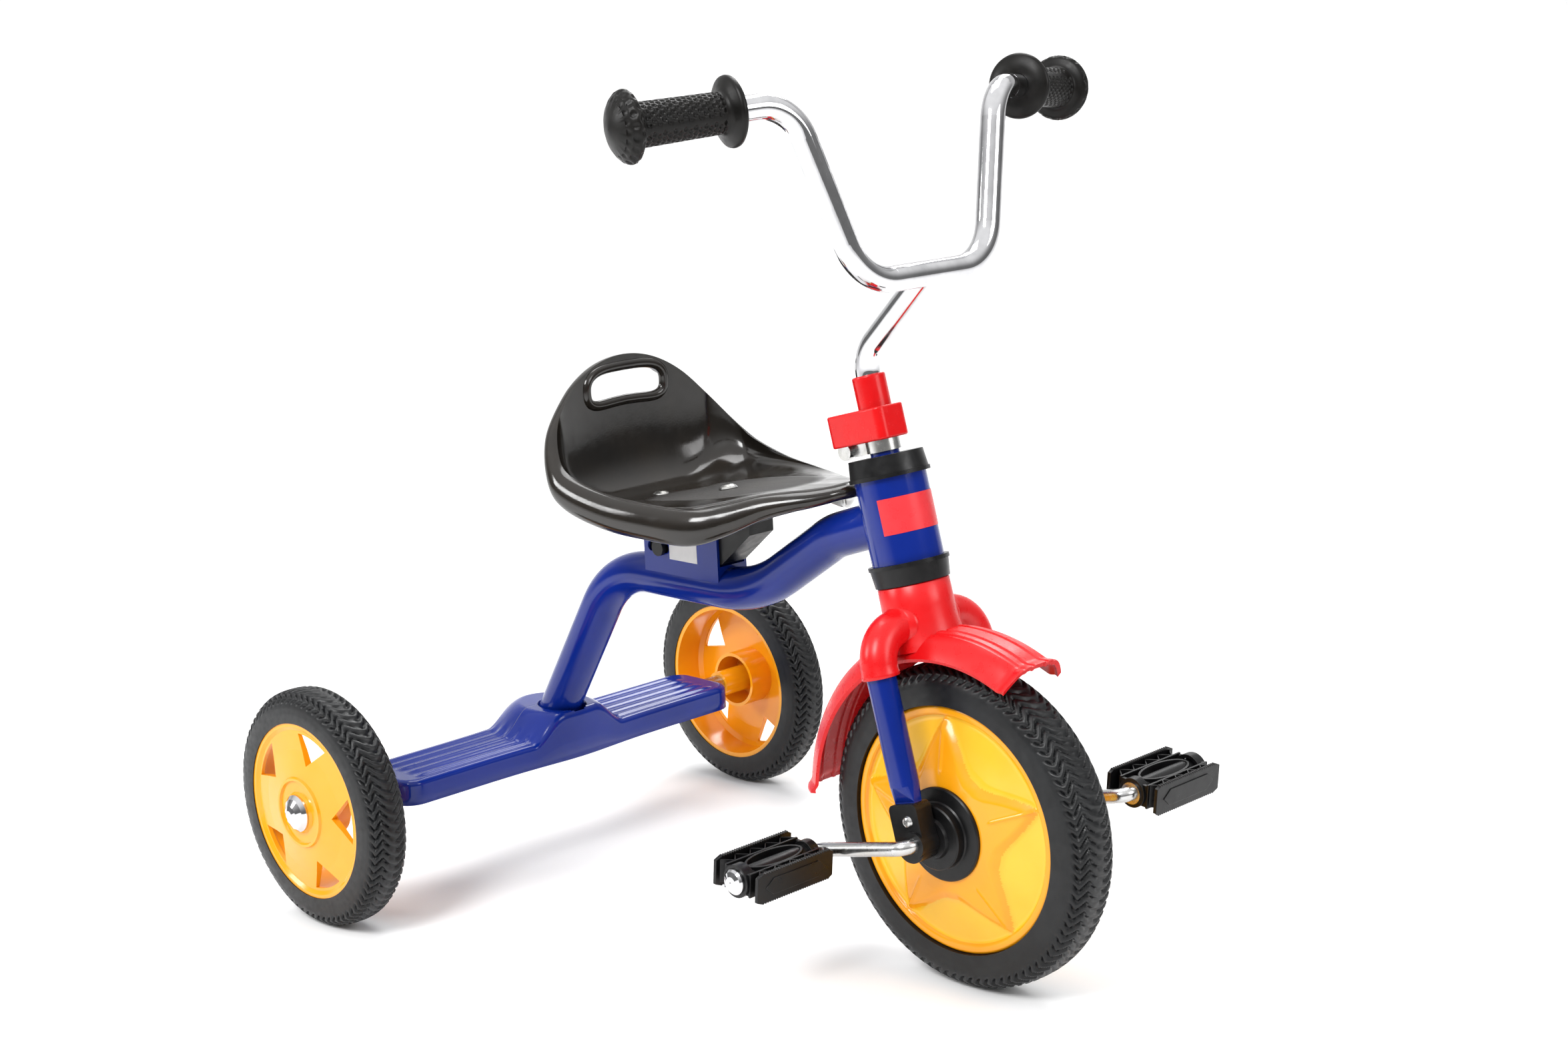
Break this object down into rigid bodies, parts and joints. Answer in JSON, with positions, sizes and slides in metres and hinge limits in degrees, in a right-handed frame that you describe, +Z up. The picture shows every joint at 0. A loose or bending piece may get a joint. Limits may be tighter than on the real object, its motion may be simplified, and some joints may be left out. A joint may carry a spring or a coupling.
{
  "type": "children's tricycle",
  "caption": "Children's tricycle with a bent tube frame, driven front wheel under a mudguard, bucket seat with a handle slot and a rear step.",
  "frame": {"origin": "on the ground, midway between the back of the rear tyres and the front of the front tyre, on the middle plane", "axes": "+X forwards, +Y to the rider's left, +Z up"},
  "size_m": [0.725, 0.5466, 0.6861],
  "materials": {
    "frame_paint": "gloss powder coat",
    "red_plastic": "gloss",
    "yellow_plastic": "gloss",
    "tyre_rubber": "matt",
    "black_plastic": "satin",
    "seat_plastic": "gloss",
    "grip_plastic": "satin",
    "chrome": "polished plate",
    "zinc_steel": "bright zinc plate",
    "badge": "gloss sticker",
    "label": "gloss sticker",
    "bush_plastic": "matt"
  },
  "bodies": {
    "frame": {"spine_tube": "frame_paint", "head_tube": "frame_paint", "head_badge": "badge", "seat_bracket": "frame_paint", "bracket_label": "label", "rear_deck": "frame_paint", "rear_axle": "zinc_steel", "axle_spacers": "zinc_steel", "axle_caps": "chrome", "head_cup_top": "black_plastic", "head_cup_bottom": "black_plastic"},
    "seat": {"seat_shell": "seat_plastic", "seat_mount_block": "black_plastic", "seat_bolts": "zinc_steel", "seat_cross_bolt": "black_plastic", "seat_cross_nut": "zinc_steel"},
    "rear_wheel_left": {"rear_wheel_left": "yellow_plastic", "rear_tyre_left": "tyre_rubber"},
    "rear_wheel_right": {"rear_wheel_right": "yellow_plastic", "rear_tyre_right": "tyre_rubber"},
    "fork": {"steerer_tube": "frame_paint", "fork_leg_left": "frame_paint", "fork_leg_right": "frame_paint", "mudguard": "red_plastic", "clamp_band": "zinc_steel", "clamp_bolt": "zinc_steel", "clamp_nut": "zinc_steel", "clamp_cover": "red_plastic", "axle_bracket_left": "black_plastic", "axle_bracket_right": "black_plastic", "bracket_screws": "zinc_steel"},
    "handlebar": {"handlebar_stem": "chrome", "handlebar": "chrome", "grip_left": "grip_plastic", "grip_right": "grip_plastic"},
    "front_wheel": {"front_wheel_half_left": "yellow_plastic", "front_wheel_half_right": "yellow_plastic", "front_tyre": "tyre_rubber", "hub_flange_left": "black_plastic", "hub_flange_right": "black_plastic", "crank_axle": "zinc_steel", "pedal_washers": "zinc_steel", "pedal_caps": "chrome"},
    "pedal_left": {"pedal_left": "black_plastic", "pedal_bush_left": "bush_plastic"},
    "pedal_right": {"pedal_right": "black_plastic", "pedal_bush_right": "bush_plastic"}
  },
  "joints": [
    {"name": "seat_slide", "type": "slide", "parent": "frame", "child": "seat", "axis": [1, 0, 0], "range_m": [-0.012, 0.005]},
    {"name": "rear_wheel_left_spin", "type": "hinge", "parent": "frame", "child": "rear_wheel_left", "pos_m": [-0.2625, 0.24, 0.1], "axis": [0, 1, 0], "continuous": true},
    {"name": "rear_wheel_right_spin", "type": "hinge", "parent": "frame", "child": "rear_wheel_right", "pos_m": [-0.2625, -0.24, 0.1], "axis": [0, 1, 0], "continuous": true},
    {"name": "steering", "type": "hinge", "parent": "frame", "child": "fork", "pos_m": [0.2635, 0, 0], "axis": [-0.2419, 0, 0.9703], "range_deg": [-60, 60]},
    {"name": "stem_slide", "type": "slide", "parent": "fork", "child": "handlebar", "axis": [-0.2419, 0, 0.9703], "range_m": [0, 0.05]},
    {"name": "front_wheel_spin", "type": "hinge", "parent": "fork", "child": "front_wheel", "pos_m": [0.2375, 0, 0.125], "axis": [0, 1, 0], "continuous": true},
    {"name": "pedal_left_spin", "type": "hinge", "parent": "front_wheel", "child": "pedal_left", "pos_m": [0.3226, 0.122, 0.14309], "axis": [0, 1, 0], "continuous": true},
    {"name": "pedal_right_spin", "type": "hinge", "parent": "front_wheel", "child": "pedal_right", "pos_m": [0.1524, -0.122, 0.10691], "axis": [0, 1, 0], "continuous": true}
  ]
}
